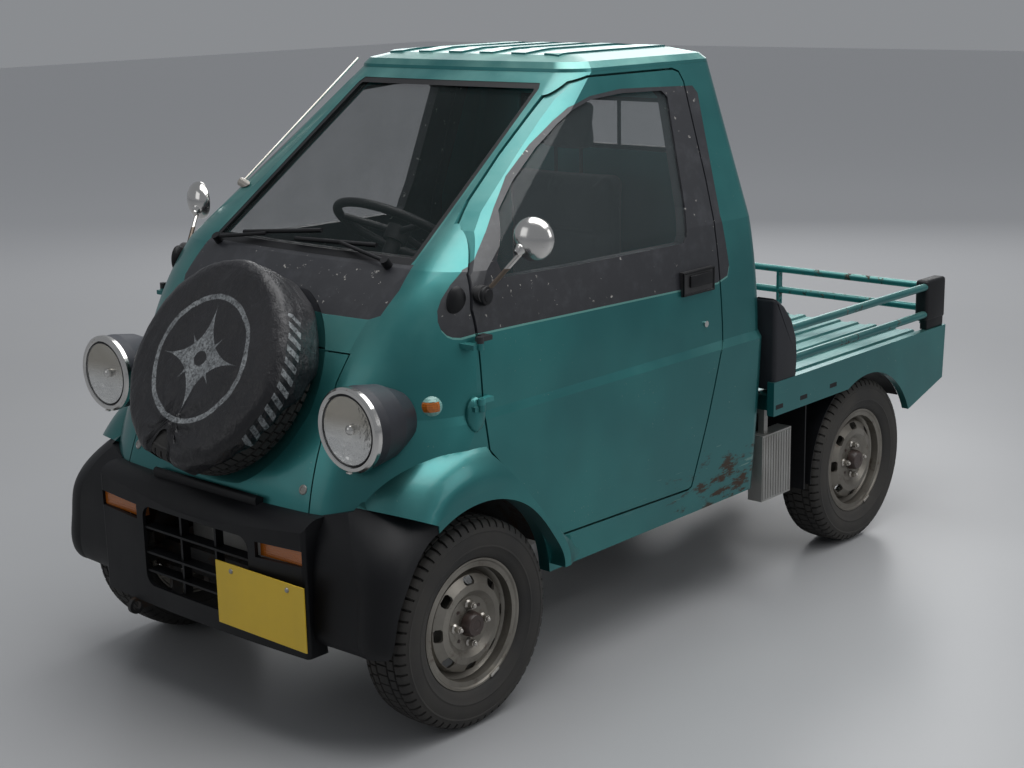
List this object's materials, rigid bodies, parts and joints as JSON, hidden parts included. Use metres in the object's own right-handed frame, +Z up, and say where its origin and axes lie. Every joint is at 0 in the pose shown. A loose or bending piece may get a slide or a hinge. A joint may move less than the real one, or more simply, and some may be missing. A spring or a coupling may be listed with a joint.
{
  "type": "kei truck",
  "caption": "Small single-seat flatbed truck with a sloping rounded cab, round headlamps, a covered spare wheel on the nose and a low railed load bed.",
  "frame": {"origin": "on the ground under the middle of the overall length and width", "axes": "+Z up, the front faces -Y, the vehicle's left is +X"},
  "size_m": [1.397, 2.8059, 1.6412],
  "materials": {
    "alloy": "dull",
    "amber": "amber lens",
    "black_paint": "satin black, worn",
    "black_plastic": "matt, faded",
    "body_paint": "dusty teal green metallic",
    "cast": "rusty",
    "chassis_paint": "matt black, rusty",
    "chrome": "polished",
    "glass": "tinted",
    "lamp_glass": "fluted",
    "plate": "plain yellow",
    "rubber": "matt",
    "seat_cloth": "dark cloth",
    "steel": "dull",
    "steel_wheel": "dusty grey",
    "tyre": "dusty",
    "vinyl": "worn black vinyl"
  },
  "bodies": {
    "truck": {"antenna": "chrome", "bed_deck": "body_paint", "bed_frame": "body_paint", "bed_rails": "body_paint", "bed_sides": "body_paint", "bonnet": "body_paint", "bumper_grille": "black_plastic", "cab_floor": "body_paint", "cab_shell": "body_paint", "chassis": "chassis_paint", "dashboard": "black_plastic", "engine_block": "alloy", "exhaust": "steel", "front_bumper": "black_plastic", "front_flares": "body_paint", "front_suspension": "cast", "fuel_tank": "chassis_paint", "headlamp_lenses": "lamp_glass", "headlamp_pods": "black_plastic", "headlamp_rims": "chrome", "hinge_brackets": "black_paint", "leaf_springs": "cast", "mudguards": "rubber", "number_plate": "plate", "radiator": "alloy", "rail_pads": "rubber", "rear_axle": "cast", "rear_window": "glass", "roof_panel": "body_paint", "seat": "seat_cloth", "side_box": "alloy", "signal_lamps": "amber", "spare_carrier": "black_paint", "spare_cover": "vinyl", "spare_rim": "steel_wheel", "spare_tyre": "tyre", "steering_column": "black_paint", "window_seals": "rubber", "windscreen": "glass", "wipers": "black_paint"},
    "door_left": {"door_fittings_left": "black_plastic", "door_glass_left": "glass", "door_left": "body_paint"},
    "knuckle_left": {"knuckle_left": "cast"},
    "door_right": {"door_fittings_right": "black_plastic", "door_glass_right": "glass", "door_right": "body_paint"},
    "knuckle_right": {"knuckle_right": "cast"},
    "wheel_front_left": {"rim_front_left": "steel_wheel", "tyre_front_left": "tyre"},
    "wheel_front_right": {"rim_front_right": "steel_wheel", "tyre_front_right": "tyre"},
    "wheel_rear_left": {"rim_rear_left": "steel_wheel", "tyre_rear_left": "tyre"},
    "wheel_rear_right": {"rim_rear_right": "steel_wheel", "tyre_rear_right": "tyre"},
    "steering_wheel": {"steering_wheel": "black_plastic"},
    "tail_gate": {"tail_gate": "body_paint"}
  },
  "joints": [
    {"name": "door_left_hinge", "type": "hinge", "parent": "truck", "child": "door_left", "pos_m": [0.622, -0.921, 0.9], "axis": [0, 0, -1], "range_deg": [0, 65]},
    {"name": "door_right_hinge", "type": "hinge", "parent": "truck", "child": "door_right", "pos_m": [-0.622, -0.921, 0.9], "axis": [0, 0, 1], "range_deg": [0, 65]},
    {"name": "steer_left", "type": "hinge", "parent": "truck", "child": "knuckle_left", "pos_m": [0.475, -0.955, 0.271], "axis": [0, 0, 1], "range_deg": [-30, 30]},
    {"name": "steer_right", "type": "hinge", "parent": "truck", "child": "knuckle_right", "pos_m": [-0.475, -0.955, 0.271], "axis": [0, 0, 1], "range_deg": [-30, 30]},
    {"name": "wheel_front_left_spin", "type": "hinge", "parent": "knuckle_left", "child": "wheel_front_left", "pos_m": [0.55, -0.955, 0.271], "axis": [1, 0, 0], "continuous": true},
    {"name": "wheel_rear_left_spin", "type": "hinge", "parent": "truck", "child": "wheel_rear_left", "pos_m": [0.55, 0.885, 0.271], "axis": [1, 0, 0], "continuous": true},
    {"name": "wheel_front_right_spin", "type": "hinge", "parent": "knuckle_right", "child": "wheel_front_right", "pos_m": [-0.55, -0.955, 0.271], "axis": [1, 0, 0], "continuous": true},
    {"name": "wheel_rear_right_spin", "type": "hinge", "parent": "truck", "child": "wheel_rear_right", "pos_m": [-0.55, 0.885, 0.271], "axis": [1, 0, 0], "continuous": true},
    {"name": "steering_wheel_turn", "type": "hinge", "parent": "truck", "child": "steering_wheel", "pos_m": [0, -0.576, 1.158], "axis": [0, 0.5501, 0.8351], "range_deg": [-540, 540]},
    {"name": "tail_gate_hinge", "type": "hinge", "parent": "truck", "child": "tail_gate", "pos_m": [0, 1.351, 0.66], "axis": [-1, 0, 0], "range_deg": [0, 90]}
  ],
  "couplings": [
    {"joint": "steer_right", "follows": "steer_left", "ratio": 1},
    {"joint": "steering_wheel_turn", "follows": "steer_left", "ratio": 16}
  ]
}
